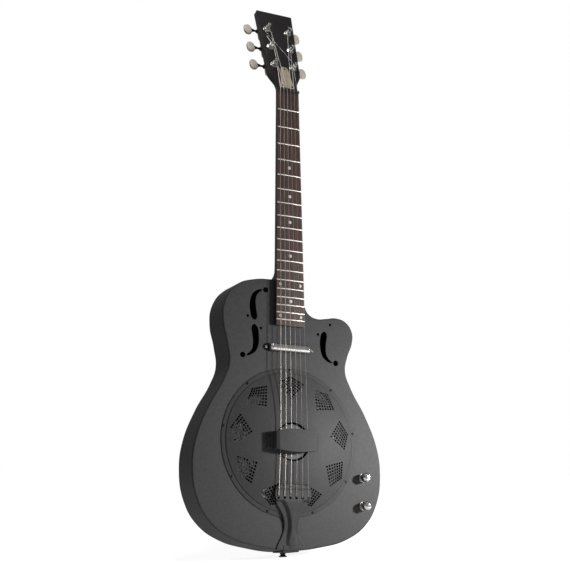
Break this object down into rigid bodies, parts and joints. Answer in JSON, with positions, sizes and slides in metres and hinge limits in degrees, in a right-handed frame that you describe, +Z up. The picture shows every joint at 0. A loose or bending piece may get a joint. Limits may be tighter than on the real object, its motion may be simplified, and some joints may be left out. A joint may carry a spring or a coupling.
{
  "type": "resonator guitar",
  "caption": "Thin-bodied metal resonator guitar with a cutaway, domed perforated cover plate, biscuit bridge under a palm rest, fan tailpiece, slim tube pickup and geared tuners.",
  "frame": {"origin": "middle of the flat end of the end pin, at the tail", "axes": "+Z up the neck, -Y out of the front, +X to the treble side"},
  "size_m": [0.3724, 0.0953, 1.0257],
  "materials": {
    "body_coat": "matte black powder coat",
    "neck_wood": "black satin over mahogany",
    "rosewood": "oiled",
    "maple": "bare",
    "spun_aluminium": "spun",
    "black_plastic": "moulded",
    "nickel": "satin nickel plate",
    "chrome": "polished",
    "plated_steel": "zinc plate",
    "blackened_steel": "black oxide",
    "string_steel": "wound bronze and plain steel"
  },
  "bodies": {
    "guitar": {"top_plate": "body_coat", "side_band": "body_coat", "back_plate": "body_coat", "cover_plate": "body_coat", "palm_rest": "body_coat", "tailpiece": "body_coat", "jack_plate": "body_coat", "neck": "neck_wood", "fingerboard": "rosewood", "neck_stick": "maple", "biscuit": "maple", "saddle": "maple", "sound_well": "spun_aluminium", "resonator_cone": "spun_aluminium", "nut": "black_plastic", "end_pin": "black_plastic", "pickup_base": "black_plastic", "truss_rod_cover": "nickel", "pickup_screw_bass": "nickel", "pickup_screw_treble": "nickel", "pickup_tube": "chrome", "truss_rod": "plated_steel", "truss_rod_nut": "plated_steel", "volume_pot": "plated_steel", "tone_pot": "plated_steel", "output_jack": "plated_steel", "string_1": "string_steel", "string_2": "string_steel", "string_3": "string_steel", "string_4": "string_steel", "string_5": "string_steel", "string_6": "string_steel", "tuner_1_housing": "nickel", "tuner_2_housing": "nickel", "tuner_3_housing": "nickel", "tuner_4_housing": "nickel", "tuner_5_housing": "nickel", "tuner_6_housing": "nickel"},
    "volume_control": {"volume_knob": "chrome", "volume_shaft": "plated_steel"},
    "tone_control": {"tone_knob": "chrome", "tone_shaft": "plated_steel"},
    "tuner_1_key": {"tuner_1_worm_shaft": "blackened_steel", "tuner_1_button": "nickel"},
    "tuner_1_winder": {"tuner_1_post": "nickel"},
    "tuner_2_key": {"tuner_2_worm_shaft": "blackened_steel", "tuner_2_button": "nickel"},
    "tuner_2_winder": {"tuner_2_post": "nickel"},
    "tuner_3_key": {"tuner_3_worm_shaft": "blackened_steel", "tuner_3_button": "nickel"},
    "tuner_3_winder": {"tuner_3_post": "nickel"},
    "tuner_4_key": {"tuner_4_worm_shaft": "blackened_steel", "tuner_4_button": "nickel"},
    "tuner_4_winder": {"tuner_4_post": "nickel"},
    "tuner_5_key": {"tuner_5_worm_shaft": "blackened_steel", "tuner_5_button": "nickel"},
    "tuner_5_winder": {"tuner_5_post": "nickel"},
    "tuner_6_key": {"tuner_6_worm_shaft": "blackened_steel", "tuner_6_button": "nickel"},
    "tuner_6_winder": {"tuner_6_post": "nickel"}
  },
  "joints": [
    {"name": "volume_turn", "type": "hinge", "parent": "guitar", "child": "volume_control", "pos_m": [0.146, -0.036, 0.139], "axis": [0, -1, 0], "range_deg": [-150, 150]},
    {"name": "tone_turn", "type": "hinge", "parent": "guitar", "child": "tone_control", "pos_m": [0.146, -0.036, 0.089], "axis": [0, -1, 0], "range_deg": [-150, 150]},
    {"name": "tuner_1_key_turn", "type": "hinge", "parent": "guitar", "child": "tuner_1_key", "pos_m": [0.02, 0.00169, 0.90628], "axis": [1, 0, 0], "continuous": true},
    {"name": "tuner_1_post_turn", "type": "hinge", "parent": "guitar", "child": "tuner_1_winder", "pos_m": [0.02, -0.00123, 0.89672], "axis": [0, -0.9563, 0.2924], "continuous": true},
    {"name": "tuner_2_key_turn", "type": "hinge", "parent": "guitar", "child": "tuner_2_key", "pos_m": [0.0211, 0.01412, 0.94692], "axis": [1, 0, 0], "continuous": true},
    {"name": "tuner_2_post_turn", "type": "hinge", "parent": "guitar", "child": "tuner_2_winder", "pos_m": [0.0211, 0.0112, 0.93736], "axis": [0, -0.9563, 0.2924], "continuous": true},
    {"name": "tuner_3_key_turn", "type": "hinge", "parent": "guitar", "child": "tuner_3_key", "pos_m": [0.0222, 0.02655, 0.98757], "axis": [1, 0, 0], "continuous": true},
    {"name": "tuner_3_post_turn", "type": "hinge", "parent": "guitar", "child": "tuner_3_winder", "pos_m": [0.0222, 0.02362, 0.978], "axis": [0, -0.9563, 0.2924], "continuous": true},
    {"name": "tuner_4_key_turn", "type": "hinge", "parent": "guitar", "child": "tuner_4_key", "pos_m": [-0.0222, 0.02655, 0.98757], "axis": [1, 0, 0], "continuous": true},
    {"name": "tuner_4_post_turn", "type": "hinge", "parent": "guitar", "child": "tuner_4_winder", "pos_m": [-0.0222, 0.02362, 0.978], "axis": [0, -0.9563, 0.2924], "continuous": true},
    {"name": "tuner_5_key_turn", "type": "hinge", "parent": "guitar", "child": "tuner_5_key", "pos_m": [-0.0211, 0.01412, 0.94692], "axis": [1, 0, 0], "continuous": true},
    {"name": "tuner_5_post_turn", "type": "hinge", "parent": "guitar", "child": "tuner_5_winder", "pos_m": [-0.0211, 0.0112, 0.93736], "axis": [0, -0.9563, 0.2924], "continuous": true},
    {"name": "tuner_6_key_turn", "type": "hinge", "parent": "guitar", "child": "tuner_6_key", "pos_m": [-0.02, 0.00169, 0.90628], "axis": [1, 0, 0], "continuous": true},
    {"name": "tuner_6_post_turn", "type": "hinge", "parent": "guitar", "child": "tuner_6_winder", "pos_m": [-0.02, -0.00123, 0.89672], "axis": [0, -0.9563, 0.2924], "continuous": true}
  ],
  "couplings": [
    {"joint": "tuner_1_post_turn", "follows": "tuner_1_key_turn", "ratio": 0.071429},
    {"joint": "tuner_2_post_turn", "follows": "tuner_2_key_turn", "ratio": 0.071429},
    {"joint": "tuner_3_post_turn", "follows": "tuner_3_key_turn", "ratio": 0.071429},
    {"joint": "tuner_4_post_turn", "follows": "tuner_4_key_turn", "ratio": 0.071429},
    {"joint": "tuner_5_post_turn", "follows": "tuner_5_key_turn", "ratio": 0.071429},
    {"joint": "tuner_6_post_turn", "follows": "tuner_6_key_turn", "ratio": 0.071429}
  ]
}
